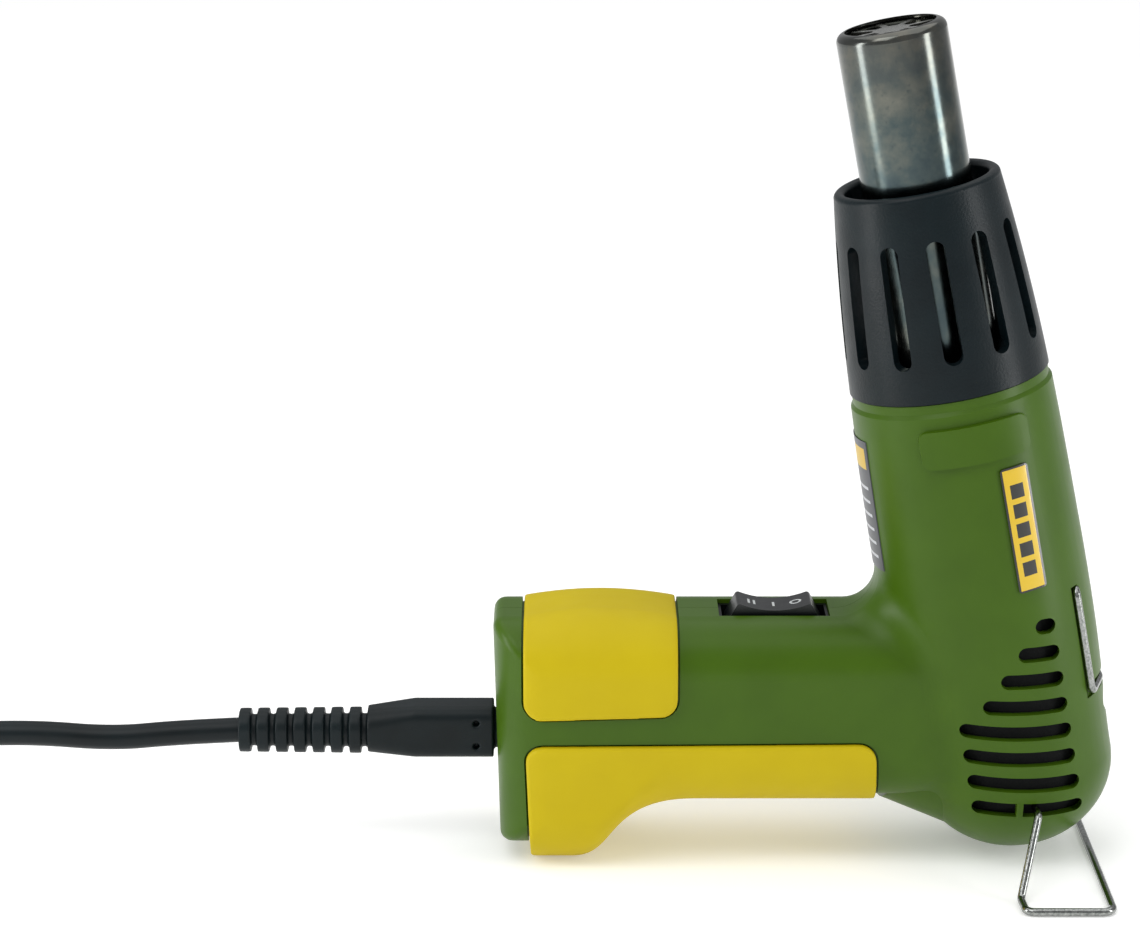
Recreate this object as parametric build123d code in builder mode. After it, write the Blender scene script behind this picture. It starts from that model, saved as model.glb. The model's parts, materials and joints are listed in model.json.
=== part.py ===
from build123d import *
import os
from math import cos, pi, radians, sin, sqrt, tan

# Compact heat gun, millimetres. It stands with its nozzle up on the foot of its handle and on a
# folding wire stand. +Z is up, +X runs from the handle to the barrel, Y is across the tool, and
# the origin is under the middle of the tool, on the surface that it stands on.
# Along the leaning barrel, u is the distance from the barrel's axis in the XZ plane, towards the
# rear, and s is the height along the axis above the joint between housing and heat shield.

# ---- Overall sizes ---------------------------------------------------------------------------
overall_length = 159.0
barrel_lean = 11.0            # degrees that the barrel leans towards the handle
joint_x = 34.64               # barrel axis at the housing's upper end
joint_z = 124.7
wall = 2.4                    # housing wall
split_gap = 0.12              # line between the two housing halves
slip = 0.05                   # radial clearance of a running or seated fit
seat_gap = 0.2                # gap round a piece set into a recess

# ---- Barrel of the housing -------------------------------------------------------------------
barrel_top_r = 24.6
shoulder_r = 25.3
shoulder_s = -3.2
barrel_mid_r = 26.25
dome_r = 25.3
dome_start = -103.0
dome_height = 22.5
# The belly slopes from the handle's underside to the barrel's bottom.
belly_r = 17.0
belly_start = Vector(26.1, 0, 29.5)
belly_end = Vector(54.6, 0, 17.4)

# ---- Handle ----------------------------------------------------------------------------------
handle_top = 64.0
handle_bottom = 17.0
handle_half_width = 20.0
handle_edge_r = 13.0
handle_end_x = -overall_length / 2
handle_end_slope = 1.6        # how far the end face leans in at the foot
band_bottom = 4.0             # underside of the housing at the handle's end
foot_back_x = -60.0
foot_rise_x = -50.5
foot_front_x = -28.0
blend_r = 10.0                # blend between handle and barrel

# ---- Grip pads -------------------------------------------------------------------------------
pad_sink = 1.2
pad_proud = 1.3
pad_x0 = -71.7
upper_pad_x1 = -33.0
upper_pad_z0 = 40.6
lower_pad_x1 = 17.0
pad_groove = 0.5
lower_pad_z1 = 34.2
pad_corner_r = 4.5

# ---- Vents, counted from the lowest ----------------------------------------------------------
vent_count = 8
vent_height = 3.9
vent_pitch = 6.95
vent_z = 18.3
vent_rear_x = 69.6
vent_rear_step = 1.32
vent_front_x = 41.4
vent_front_step = 1.3
vent_slope_step = 4.1
vent_full_rows = 4
vent_rib_x = 53.2
vent_rib = 1.6

# ---- Heat shield and nozzle ------------------------------------------------------------------
shield_length = 51.0
shield_base_r = 25.0
shield_top_r = 20.7
shield_bulge = 0.45
shield_wall = 2.9
shield_slots = 12
shield_slot_width = 4.7
shield_slot_s0 = 9.0
shield_slot_s1 = 39.5
shield_slot_turn = 0.5        # degrees from the tool's side to the nearest slot
spigot_depth = 5.0
nozzle_r = 13.6
nozzle_wall = 0.7
nozzle_tip = 89.5
nozzle_rim_r = 2.3
flange_r = 20.0
flange_s = -3.0
flange_thick = 1.0

# ---- Heater ----------------------------------------------------------------------------------
sleeve_gap = 0.15
sleeve_wall = 0.6
heater_s0 = 0.0
heater_s1 = 76.0
core_r = 7.0
coil_r = 8.7
coil_wire_r = 0.55
coil_pitch = 6.0
spacer_thick = 1.5
spider_s = 85.3
spider_thick = 1.6
spider_spokes = 8
spider_hub_r = 4.6
spider_fin_r = 10.9
spider_fin_height = 3.2
spider_open_r = 11.2
spoke_width = 1.6

# ---- Fan and motor ---------------------------------------------------------------------------
duct_wall = 1.4
duct_r = 21.8
duct_neck_s = -20.0
duct_cone_s = -34.0
duct_end = -52.0
fan_r = 19.2
fan_hub_r = 6.5
fan_s0 = -49.0
fan_s1 = -38.0
fan_blades = 7
blade_thick = 1.2
blade_tilt = 35.0
shaft_r = 1.15
motor_r = 13.4
motor_wall = 0.8
motor_s0 = -90.0
motor_s1 = -60.0
end_cap_thick = 2.5
armature_r = 8.8
armature_s0 = -83.0
armature_s1 = -66.0
magnet_gap = 0.8
mount_s0 = -74.0
mount_s1 = -64.0
board_s = -94.3
board_thick = 1.2
board_r = 9.5

# ---- Rocker switch ---------------------------------------------------------------------------
switch_x = -8.2
switch_opening = 28.1
switch_opening_width = 13.6
switch_wall = 0.7
switch_top = 62.9
switch_floor = 52.0
switch_bottom = 42.0
rocker_length = 24.5
rocker_width = 10.6
rocker_pivot_z = 57.5
rocker_crest = 9.2
rocker_crest_z = 66.8
rocker_end_z = 61.2
rocker_hollow = 1.9
rocker_stub_r = 1.5

# ---- Wires: stand and hanging bail -----------------------------------------------------------
wire_r = 1.0
stand_pivot_x = 57.4
stand_pivot_z = 18.3
stand_arm = 11.0
stand_arm_y = 14.5
stand_exit_y = 28.0
stand_leg_x = 52.0
stand_leg_y = 40.0
stand_foot_y = 48.0
stand_bar_x = 74.0
bail_u = 21.2
bail_y = 16.6
bail_s0 = -56.0
bail_s1 = -83.0
bail_mid_u = 24.6
bail_end_y = 11.0
bail_room = 0.35              # clear space round the folded bail

# ---- Cord ------------------------------------------------------------------------------------
cord_r = 3.2
cord_z = 31.5
relief_end_x = -145.1
relief_root_x = -100.0
relief_rib_x = -112.0
relief_height = 13.6
relief_width = 12.4
rib_count = 7
rib_r = 5.7
rib_core_r = 4.3
rib_width = 3.0
cord_route = [
    (relief_end_x, 0, 30.8),
    (-161, 0.2, 30.0),
    (-178, 0.4, 28.2),
    (-199, 1.0, 29.8),
    (-222, 2.0, 28.6),
    (-245, 4.0, 20.0),
    (-267, 7.0, 10.6),
    (-287, 10.0, 5.6),
    (-306, 14.0, 4.2),
]
coil_mean_r = 35.0
coil_half_width = 10.5
coil_height = 13.6
coil_stub = 9.5
plug_length = 27.0
plug_width = 26.0
plug_height = 13.6
plug_neck = 10.0
plug_neck_r = 4.4
plug_lead = 36.0              # from the coil's tangent point to the plug's neck
pin_r = 2.0
pin_length = 19.0
pin_spacing = 19.0

os.makedirs("parts", exist_ok=True)

# ---- Planes ----------------------------------------------------------------------------------
lean = radians(barrel_lean)
axis_dir = Vector(-sin(lean), 0, cos(lean))
rear_dir = Vector(cos(lean), 0, sin(lean))
joint = Vector(joint_x, 0, joint_z)
barrel_axis = Axis(joint, axis_dir)
barrel_section = Plane(origin=joint, x_dir=rear_dir, z_dir=(0, -1, 0))


def across_barrel(s):
    """Plane square to the barrel's axis at the height s."""
    return Plane(origin=joint + axis_dir * s, x_dir=rear_dir, z_dir=axis_dir)


def barrel_point(u, y, s):
    return joint + rear_dir * u + axis_dir * s + Vector(0, y, 0)


def save(piece, name):
    piece.part.label = name
    export_step(piece.part, f"parts/{name}.step")


# ---- Shapes that several pieces share --------------------------------------------------------
def barrel_body(inset, top=0.0):
    """The barrel's solid of revolution, moved inwards by inset."""
    with BuildPart() as body:
        with BuildSketch(barrel_section):
            with BuildLine():
                Polyline((0, top), (barrel_top_r - inset, top), (barrel_top_r - inset, shoulder_s * 0.7),
                         (shoulder_r - inset, shoulder_s))
                Spline([(shoulder_r - inset, shoulder_s), (barrel_mid_r - inset, -36),
                        (barrel_mid_r - inset, -78), (dome_r - inset, dome_start)],
                       tangents=[(0.6, -14), (0, -1)])
                EllipticalCenterArc((0, dome_start), dome_r - inset, dome_height - inset,
                                    start_angle=270, arc_size=90)
                Line((0, dome_start - dome_height + inset), (0, top))
            make_face()
        revolve(axis=barrel_axis)
    return body.part


def handle_body(inset, foot=band_bottom, end_fillet=0.0):
    """The handle's solid, moved inwards by inset; its right end lies inside the barrel."""
    inner_x = joint_x + 11.0
    top = handle_top - inset
    bottom = handle_bottom + inset
    low = foot + inset
    rise_start_x = foot_back_x - inset / 2
    with BuildPart() as body:
        with BuildSketch(Plane.XZ):
            with BuildLine():
                Polyline((inner_x, top), (handle_end_x + inset, top),
                         (handle_end_x + handle_end_slope + inset, low), (rise_start_x, low))
                Spline([(rise_start_x, low), (foot_rise_x - inset, (low + bottom) / 2), (foot_front_x, bottom)],
                       tangents=[(1, 0), (1, 0)])
                Polyline((foot_front_x, bottom), (inner_x, bottom), (inner_x, top))
            make_face()
        extrude(amount=handle_half_width - inset, both=True)
        side_y = handle_half_width - inset
        sides = [e for e in body.edges()
                 if abs(abs((e @ 0.5).Y) - side_y) < 0.01 and (e @ 0.5).X < inner_x - 1]
        fillet(sides, handle_edge_r - inset)
        if end_fillet:
            end = body.faces().sort_by(Axis.X)[0]
            fillet(end.edges(), end_fillet)
    return body.part


def belly_body(inset):
    """The round belly under the junction. Its hollow starts behind a solid end."""
    run = belly_end - belly_start
    start = belly_start + run.normalized() * inset * 2.5
    with BuildPart() as body:
        with BuildSketch(Plane(origin=start, z_dir=run)):
            Circle(belly_r - inset)
        extrude(amount=(belly_end - start).length)
        with Locations(belly_end):
            Sphere(belly_r - inset)
    return body.part


def side_prism(sketch):
    """A sketch on the XZ plane made into a prism that is wider than the tool."""
    return extrude(sketch, amount=60, both=True, mode=Mode.PRIVATE)


def upper_pad_outline(grow):
    with BuildSketch(Plane.XZ) as outline:
        with BuildLine():
            Polyline((pad_x0 - grow, handle_top + 20), (pad_x0 - grow, upper_pad_z0 - grow),
                     (upper_pad_x1 + grow, upper_pad_z0 + 1.2 - grow), (upper_pad_x1 + grow, handle_top + 20),
                     close=True)
        make_face()
        fillet(outline.vertices().group_by(Axis.Y)[0] + outline.vertices().group_by(Axis.Y)[1],
               pad_corner_r + grow)
    return outline.sketch


def lower_pad_outline(grow):
    with BuildSketch(Plane.XZ) as outline:
        with BuildLine():
            Polyline((pad_x0 + 0.4 - grow, lower_pad_z1 - 0.7 + grow), (lower_pad_x1 + grow, lower_pad_z1 + grow),
                     (lower_pad_x1 + 2.0 + grow, -10), (pad_x0 + 2.2 - grow, -10), close=True)
        make_face()
        fillet(outline.vertices().group_by(Axis.Y)[-1] + outline.vertices().group_by(Axis.Y)[-2],
               pad_corner_r + grow)
    return outline.sketch


def wire(points, radii, r):
    """A round wire along a bent path."""
    with BuildPart() as body:
        with BuildLine() as path:
            FilletPolyline(*points, radius=radii)
        with BuildSketch(path.line ^ 0):
            Circle(r)
        sweep()
    return body.part


def junction_edges(solid):
    """The edges where the handle runs into the barrel."""
    found = []
    for edge in solid.edges():
        middle = edge @ 0.5
        radius = sqrt((middle - joint).dot(rear_dir) ** 2 + middle.Y ** 2)
        beside_handle = 3 < middle.X < joint_x + 10 and middle.Z < handle_top + 6
        if beside_handle and abs(radius - barrel_mid_r) < 2 and edge.length > 0.05:
            found.append(edge)
    return found


def rods_along_y(places, r, y0, y1):
    """Round rods across the tool, one at each place in the XZ plane."""
    with BuildPart() as rods:
        with BuildSketch(Plane.XZ.offset(-y1)):
            with Locations(*[(place.X, place.Z) for place in places]):
                Circle(r)
        extrude(amount=y1 - y0)
    return rods.part


# ---- Housing: one skin, cut out and split into two halves ------------------------------------
screw_r = 1.5
screw_head_r = 2.8
screw_head_thick = 2.0
screw_end_y = -10.0
boss_r = 3.9
screws = [
    (Vector(-27.0, 0, 40.0), 13.0),
    (Vector(11.5, 0, 40.0), 13.0),
    (barrel_point(18.6, 0, -15.5), 11.5),
    (barrel_point(-18.6, 0, -15.5), 11.5),
    (barrel_point(0, 0, -118.8), 11.5),
]
block_u = 1.9
block_s = -11.0
block_length = 27.0
block_width = 9.5
block_proud = 1.5
notch_s0 = bail_s1 - wire_r - 0.7
notch_s1 = bail_s1 + wire_r + 0.7
rib_s0 = -96.0
rib_depth = 3.0
scoop_r = 8.0
scoop_depth = 1.8
scoop_s = -90.5
groove_cut = wire_r + bail_room

with BuildPart() as housing_skin:
    add(barrel_body(0))
    add(handle_body(0, end_fillet=2.6))
    fillet(junction_edges(housing_skin.part), blend_r)
    add(belly_body(0))

with BuildPart() as side_blocks:
    add(barrel_body(-block_proud))
    with BuildSketch(barrel_section):
        with Locations((block_u, block_s)):
            RectangleRounded(block_length, block_width, 2.2)
    extrude(amount=60, both=True, mode=Mode.INTERSECT)
    add(barrel_body(wall / 2), mode=Mode.SUBTRACT)

with BuildPart() as notch_rib:
    with BuildSketch(barrel_section):
        with Locations((barrel_mid_r - wall - rib_depth / 2 + 1.0, (rib_s0 + notch_s1 + 2) / 2)):
            Rectangle(rib_depth + 1.0, notch_s1 + 2 - rib_s0)
    revolve(axis=barrel_axis, revolution_arc=80)

with BuildPart() as screw_bosses:
    add(rods_along_y([place for place, head in screws], boss_r, -40, 40))
    add(housing_skin.part, mode=Mode.INTERSECT)

with BuildPart() as housing_shell:
    add(housing_skin.part)
    add(side_blocks.part)
    add(barrel_body(wall, top=1.0), mode=Mode.SUBTRACT)
    add(handle_body(wall), mode=Mode.SUBTRACT)
    add(belly_body(wall), mode=Mode.SUBTRACT)
    add(notch_rib.part.rotate(barrel_axis, -40))
    add(screw_bosses.part)
    # Recesses for the two grip pads.
    for outline in (upper_pad_outline(pad_groove), lower_pad_outline(pad_groove)):
        add(side_prism(outline) - handle_body(pad_sink), mode=Mode.SUBTRACT)
    # Vents on both sides; the lowest row is parted by a rib.
    with BuildSketch(Plane.XZ):
        for row in range(vent_count):
            rear_x = vent_rear_x - row * vent_rear_step
            if row < vent_full_rows:
                front_x = vent_front_x - row * vent_front_step
            else:
                last_full = vent_front_x - (vent_full_rows - 1) * vent_front_step
                front_x = last_full + (row - vent_full_rows + 1.3) * vent_slope_step
            with Locations(((front_x + rear_x) / 2, vent_z + row * vent_pitch)):
                SlotOverall(rear_x - front_x, vent_height)
        with Locations((vent_rib_x, vent_z)):
            Rectangle(vent_rib, vent_height + 2, mode=Mode.SUBTRACT)
    extrude(amount=60, both=True, mode=Mode.SUBTRACT)
    # Switch opening and cord hole.
    with BuildSketch(Plane.XY.offset(handle_top + 6)):
        with Locations((switch_x, 0)):
            Rectangle(switch_opening, switch_opening_width)
    extrude(amount=-14, mode=Mode.SUBTRACT)
    with BuildSketch(Plane.YZ.offset(handle_end_x - 5)):
        with Locations((0, cord_z)):
            Circle(relief_width / 2 - 1.0)
    extrude(amount=12, mode=Mode.SUBTRACT)
    # Corner grooves, notch and scoop for the bail.
    for side in (-1, 1):
        with BuildSketch(across_barrel(notch_s0)):
            with Locations((bail_u - groove_cut, side * (bail_y - groove_cut))):
                Rectangle(20, 20, align=(Align.MIN, Align.MAX if side < 0 else Align.MIN))
        extrude(amount=bail_s0 + groove_cut - notch_s0, mode=Mode.SUBTRACT)
    with BuildSketch(across_barrel(notch_s0)):
        with BuildLine():
            Polyline((bail_u - groove_cut, -bail_y), (bail_mid_u - groove_cut, -7), (bail_mid_u - groove_cut, 7),
                     (bail_u - groove_cut, bail_y), (bail_u + 20, bail_y), (bail_u + 20, -bail_y), close=True)
        make_face()
    extrude(amount=notch_s1 - notch_s0, mode=Mode.SUBTRACT)
    scoop_at = barrel_point(barrel_mid_r + scoop_r - scoop_depth, 0, scoop_s)
    add(rods_along_y([scoop_at], scoop_r, -30, 30), mode=Mode.SUBTRACT)
    hinge_at = barrel_point(bail_u, 0, bail_s0)
    add(rods_along_y([hinge_at], wire_r + slip, -20, 20), mode=Mode.SUBTRACT)
    # Screw holes, with the heads sunk in from the right side.
    for place, head_y in screws:
        add(rods_along_y([place], screw_r + slip, screw_end_y - 1, head_y), mode=Mode.SUBTRACT)
        add(rods_along_y([place], screw_head_r + seat_gap, head_y, 40), mode=Mode.SUBTRACT)

for side, name in ((-1, "housing_left"), (1, "housing_right")):
    with BuildPart() as housing_half:
        add(housing_shell.part)
        keep = Keep.TOP if side < 0 else Keep.BOTTOM
        split(bisect_by=Plane.XZ.offset(-side * split_gap / 2), keep=keep)
    save(housing_half, name)

with BuildPart() as housing_screws:
    for place, head_y in screws:
        add(rods_along_y([place], screw_r, screw_end_y, head_y))
        add(rods_along_y([place], screw_head_r, head_y, head_y + screw_head_thick))
save(housing_screws, "housing_screws")

# ---- Grip pads, badges and rating label ------------------------------------------------------
with BuildPart() as grip_pad_upper:
    add(handle_body(-pad_proud))
    add(side_prism(upper_pad_outline(0)), mode=Mode.INTERSECT)
    add(handle_body(pad_sink), mode=Mode.SUBTRACT)
save(grip_pad_upper, "grip_pad_upper")

with BuildPart() as grip_pad_lower:
    add(handle_body(-pad_proud, foot=pad_proud))
    add(side_prism(lower_pad_outline(0)), mode=Mode.INTERSECT)
    add(handle_body(pad_sink), mode=Mode.SUBTRACT)
save(grip_pad_lower, "grip_pad_lower")

badge_u = 10.1
badge_s = -34.8
badge_width = 7.2
badge_length = 32.0
badge_thick = 0.5
label_width = 20.0
label_length = 34.0
label_s = -27.0
label_thick = 0.25
for side, name in ((-1, "badge_left"), (1, "badge_right")):
    with BuildPart() as badge:
        add(barrel_body(-badge_thick))
        with BuildSketch(barrel_section):
            with Locations((badge_u, badge_s)):
                RectangleRounded(badge_width, badge_length, 0.9)
        extrude(amount=-side * 40, mode=Mode.INTERSECT)
        add(barrel_body(0), mode=Mode.SUBTRACT)
    save(badge, name)

with BuildPart() as rating_label:
    add(barrel_body(-label_thick))
    with BuildSketch(Plane(origin=joint, x_dir=(0, -1, 0), z_dir=-rear_dir)):
        with Locations((0, label_s)):
            Rectangle(label_width, label_length)
    extrude(amount=40, mode=Mode.INTERSECT)
    add(barrel_body(0), mode=Mode.SUBTRACT)
save(rating_label, "rating_label")

# ---- Heat shield -----------------------------------------------------------------------------
spigot_r = barrel_top_r - wall - slip
spigot_inner_r = spigot_r - 1.5
shield_inner_top = shield_top_r - shield_wall
shield_seat = 0.3
floor_s = 0.8
floor_thick = 2.2
with BuildPart() as heat_shield:
    with BuildSketch(barrel_section):
        with BuildLine():
            middle = ((shield_base_r + shield_top_r) / 2 + shield_bulge, shield_length / 2)
            ThreePointArc((shield_base_r, shield_seat), middle, (shield_top_r, shield_length - 1.5))
            ThreePointArc((shield_top_r, shield_length - 1.5), (shield_top_r - shield_wall / 2, shield_length),
                          (shield_inner_top, shield_length - 1.5))
            Polyline((shield_inner_top, shield_length - 1.5), (shield_base_r - shield_wall, floor_s + floor_thick),
                     (nozzle_r + 0.8, floor_s + floor_thick), (nozzle_r + 0.8, floor_s), (spigot_inner_r, floor_s),
                     (spigot_inner_r, -spigot_depth), (spigot_r, -spigot_depth), (spigot_r, shield_seat),
                     (shield_base_r, shield_seat))
        make_face()
    revolve(axis=barrel_axis)
    for slot in range(shield_slots):
        turn = radians(shield_slot_turn - 90 + slot * 360 / shield_slots)
        outwards = rear_dir * cos(turn) + Vector(0, sin(turn), 0)
        along = Vector(0, cos(turn), 0) - rear_dir * sin(turn)
        with BuildSketch(Plane(origin=joint, x_dir=along, z_dir=outwards)):
            with Locations((0, (shield_slot_s0 + shield_slot_s1) / 2)):
                SlotOverall(shield_slot_s1 - shield_slot_s0, shield_slot_width, rotation=90)
        extrude(amount=40, mode=Mode.SUBTRACT)
save(heat_shield, "heat_shield")

# ---- Nozzle and heater -----------------------------------------------------------------------
nozzle_bore = nozzle_r - nozzle_wall
clamp_pitch_r = 17.3
clamp_screw_r = 1.2
clamp_head_r = 2.1
clamp_head_thick = 1.5
duct_flange_thick = 2.0
with BuildPart() as nozzle_tube:
    with BuildSketch(barrel_section):
        with BuildLine():
            rim_s = nozzle_tip - nozzle_rim_r
            rim_u = nozzle_r - nozzle_rim_r
            Polyline((nozzle_bore, flange_s), (flange_r, flange_s), (flange_r, flange_s + flange_thick),
                     (nozzle_r, flange_s + flange_thick), (nozzle_r, rim_s))
            RadiusArc((nozzle_r, rim_s), (rim_u, nozzle_tip), -nozzle_rim_r)
            Line((rim_u, nozzle_tip), (rim_u, nozzle_tip - nozzle_wall))
            RadiusArc((rim_u, nozzle_tip - nozzle_wall), (nozzle_bore, rim_s), nozzle_rim_r - nozzle_wall)
            Line((nozzle_bore, rim_s), (nozzle_bore, flange_s))
        make_face()
    revolve(axis=barrel_axis)
    with BuildSketch(across_barrel(flange_s)):
        with PolarLocations(clamp_pitch_r, 3):
            Circle(clamp_screw_r + slip)
    extrude(amount=flange_thick, mode=Mode.SUBTRACT)
save(nozzle_tube, "nozzle_tube")

with BuildPart() as nozzle_spider:
    with BuildSketch(across_barrel(spider_s)):
        Circle(nozzle_bore - slip)
        Circle(spider_open_r, mode=Mode.SUBTRACT)
        with PolarLocations(spider_open_r / 2 + 0.2, spider_spokes, start_angle=11):
            Rectangle(spider_open_r, spoke_width)
        Circle(spider_hub_r)
    extrude(amount=spider_thick)
    # The spokes and the hub stand up into the rolled rim.
    with BuildSketch(across_barrel(spider_s)):
        with PolarLocations(spider_fin_r / 2, spider_spokes, start_angle=11):
            Rectangle(spider_fin_r, spoke_width)
        Circle(spider_hub_r)
    extrude(amount=spider_fin_height)
save(nozzle_spider, "nozzle_spider")

sleeve_r = nozzle_bore - sleeve_gap
sleeve_bore = sleeve_r - sleeve_wall
with BuildPart() as mica_sleeve:
    with BuildSketch(across_barrel(heater_s0 - spacer_thick)):
        Circle(sleeve_r)
        Circle(sleeve_bore, mode=Mode.SUBTRACT)
    extrude(amount=heater_s1 - heater_s0 + 2 * spacer_thick)
save(mica_sleeve, "mica_sleeve")

with BuildPart() as heater_core:
    with BuildSketch(across_barrel(heater_s0)):
        Circle(core_r)
        with PolarLocations(core_r * 0.55, 4):
            Circle(core_r * 0.25, mode=Mode.SUBTRACT)
    extrude(amount=heater_s1 - heater_s0)
save(heater_core, "heater_core")

with BuildPart() as heater_coil:
    turn_count = int((heater_s1 - heater_s0) / coil_pitch) - 1
    for turn_number in range(turn_count):
        with BuildSketch(barrel_section):
            with Locations((coil_r, heater_s0 + (turn_number + 1) * coil_pitch)):
                Circle(coil_wire_r)
        revolve(axis=barrel_axis)
save(heater_coil, "heater_coil")

with BuildPart() as heater_spacers:
    for spacer_s in (heater_s0 - spacer_thick, heater_s1):
        with BuildSketch(across_barrel(spacer_s)):
            Circle(sleeve_bore - sleeve_gap)
            with PolarLocations((core_r + sleeve_bore) / 2, 8):
                Circle(1.9, mode=Mode.SUBTRACT)
        extrude(amount=spacer_thick)
save(heater_spacers, "heater_spacers")

cutout_length = 9.0
with BuildPart() as thermal_cutout:
    with BuildSketch(across_barrel(heater_s0 - spacer_thick - 2.0 - cutout_length)):
        RectangleRounded(8.0, 4.0, 1.2)
    extrude(amount=cutout_length)
    with BuildSketch(across_barrel(heater_s0 - spacer_thick - 2.0)):
        Circle(1.0)
    extrude(amount=2.0)
save(thermal_cutout, "thermal_cutout")

# ---- Air duct, fan and motor -----------------------------------------------------------------
duct_flange_s = flange_s - duct_flange_thick
with BuildPart() as air_duct:
    with BuildSketch(barrel_section):
        with BuildLine():
            rim_r = barrel_mid_r - wall - 0.35
            Polyline((nozzle_bore, flange_s), (flange_r, flange_s), (flange_r, duct_flange_s),
                     (nozzle_bore + duct_wall, duct_flange_s), (nozzle_bore + duct_wall, duct_neck_s),
                     (duct_r, duct_cone_s), (duct_r, duct_end + duct_wall), (rim_r, duct_end + duct_wall),
                     (rim_r, duct_end), (duct_r - duct_wall, duct_end), (duct_r - duct_wall, duct_cone_s),
                     (nozzle_bore, duct_neck_s), close=True)
        make_face()
    revolve(axis=barrel_axis)
    with BuildSketch(across_barrel(duct_flange_s)):
        with PolarLocations(clamp_pitch_r, 3):
            Circle(clamp_screw_r + 1.0)
    extrude(amount=-4.0)
    with BuildSketch(across_barrel(flange_s)):
        with PolarLocations(clamp_pitch_r, 3):
            Circle(clamp_screw_r + slip)
    extrude(amount=-duct_flange_thick - 3.0, mode=Mode.SUBTRACT)
save(air_duct, "air_duct")

with BuildPart() as nozzle_screws:
    with BuildSketch(across_barrel(flange_s + flange_thick)):
        with PolarLocations(clamp_pitch_r, 3):
            Circle(clamp_head_r)
    extrude(amount=clamp_head_thick)
    with BuildSketch(across_barrel(flange_s + flange_thick)):
        with PolarLocations(clamp_pitch_r, 3):
            Circle(clamp_screw_r)
    extrude(amount=-flange_thick - duct_flange_thick - 2.0)
save(nozzle_screws, "nozzle_screws")

with BuildPart() as fan_impeller:
    with BuildSketch(across_barrel(fan_s0)):
        Circle(fan_hub_r)
    extrude(amount=fan_s1 - fan_s0)
    for blade in range(fan_blades):
        turn = radians(blade * 360 / fan_blades)
        outwards = rear_dir * cos(turn) + Vector(0, sin(turn), 0)
        along = Vector(0, cos(turn), 0) - rear_dir * sin(turn)
        middle = joint + axis_dir * (fan_s0 + fan_s1) / 2
        with BuildSketch(Plane(origin=middle + outwards * (fan_hub_r - 1.5), x_dir=along, z_dir=outwards)):
            Rectangle(blade_thick, 9.0, rotation=blade_tilt)
        extrude(amount=fan_r - fan_hub_r + 1.5)
    with BuildSketch(across_barrel(fan_s0)):
        Circle(shaft_r + slip / 2)
    extrude(amount=fan_s1 - fan_s0, mode=Mode.SUBTRACT)
save(fan_impeller, "fan_impeller")


def barrel_tube(outer, inner, s0, s1):
    """A round tube on the barrel's axis."""
    with BuildPart() as tube:
        with BuildSketch(across_barrel(s0)):
            Circle(outer)
            if inner:
                Circle(inner, mode=Mode.SUBTRACT)
        extrude(amount=s1 - s0)
    return tube.part


with BuildPart() as motor_shaft:
    add(barrel_tube(shaft_r, 0, motor_s0 - 1.5, fan_s1 + 1.0))
save(motor_shaft, "motor_shaft")

with BuildPart() as armature:
    add(barrel_tube(armature_r, shaft_r + slip / 2, armature_s0, armature_s1))
    with BuildSketch(across_barrel(armature_s0)):
        with PolarLocations(armature_r - 1.2, 5):
            Rectangle(3.2, 1.8)
    extrude(amount=armature_s1 - armature_s0, mode=Mode.SUBTRACT)
save(armature, "armature")

with BuildPart() as commutator:
    add(barrel_tube(3.4, shaft_r + slip / 2, armature_s1 + 0.4, motor_s1 - 1.0))
save(commutator, "commutator")

motor_bore = motor_r - motor_wall
with BuildPart() as motor_can:
    add(barrel_tube(motor_r, motor_bore, motor_s0, motor_s1))
    add(barrel_tube(motor_r, shaft_r + slip, motor_s0, motor_s0 + 1.4))
save(motor_can, "motor_can")

with BuildPart() as motor_end_cap:
    add(barrel_tube(motor_r, shaft_r + slip, motor_s1, motor_s1 + end_cap_thick))
    add(barrel_tube(4.0, shaft_r + slip, motor_s1 + end_cap_thick, motor_s1 + end_cap_thick + 2.0))
save(motor_end_cap, "motor_end_cap")

with BuildPart() as motor_magnets:
    add(barrel_tube(motor_bore - slip, armature_r + magnet_gap, armature_s0 - 1, armature_s1 + 1))
    with BuildSketch(across_barrel(armature_s0 - 2)):
        Rectangle(9.0, 2 * motor_r)
    extrude(amount=armature_s1 - armature_s0 + 4, mode=Mode.SUBTRACT)
save(motor_magnets, "motor_magnets")

arm_end_r = barrel_mid_r - wall - 0.35
with BuildPart() as motor_mount:
    add(barrel_tube(motor_r + 2.0, motor_r + slip, mount_s0, mount_s1))
    for arm in range(4):
        turn = radians(45 + 90 * arm)
        outwards = rear_dir * cos(turn) + Vector(0, sin(turn), 0)
        start = joint + axis_dir * (mount_s1 - 3.0) + outwards * (motor_r + 1.0)
        with BuildSketch(Plane(origin=start, x_dir=axis_dir, z_dir=outwards)):
            Rectangle(6.0, 2.4)
        extrude(amount=arm_end_r - motor_r - 1.0)
save(motor_mount, "motor_mount")

with BuildPart() as rectifier_board:
    add(barrel_tube(board_r, 1.6, board_s - board_thick, board_s))
save(rectifier_board, "rectifier_board")

diode_r = 1.3
with BuildPart() as rectifier_diodes:
    for diode_y in (-6.4, -3.4, 3.4, 6.4):
        start = barrel_point(-3.0, diode_y, board_s - board_thick - diode_r)
        with BuildSketch(Plane(origin=start, x_dir=(0, 1, 0), z_dir=rear_dir)):
            Circle(diode_r)
        extrude(amount=6.0)
save(rectifier_diodes, "rectifier_diodes")

with BuildPart() as motor_tabs:
    with BuildSketch(across_barrel(board_s)):
        with Locations((7.5, 0), (-7.5, 0)):
            Rectangle(0.6, 3.0)
    extrude(amount=motor_s0 - board_s)
save(motor_tabs, "motor_tabs")

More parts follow.
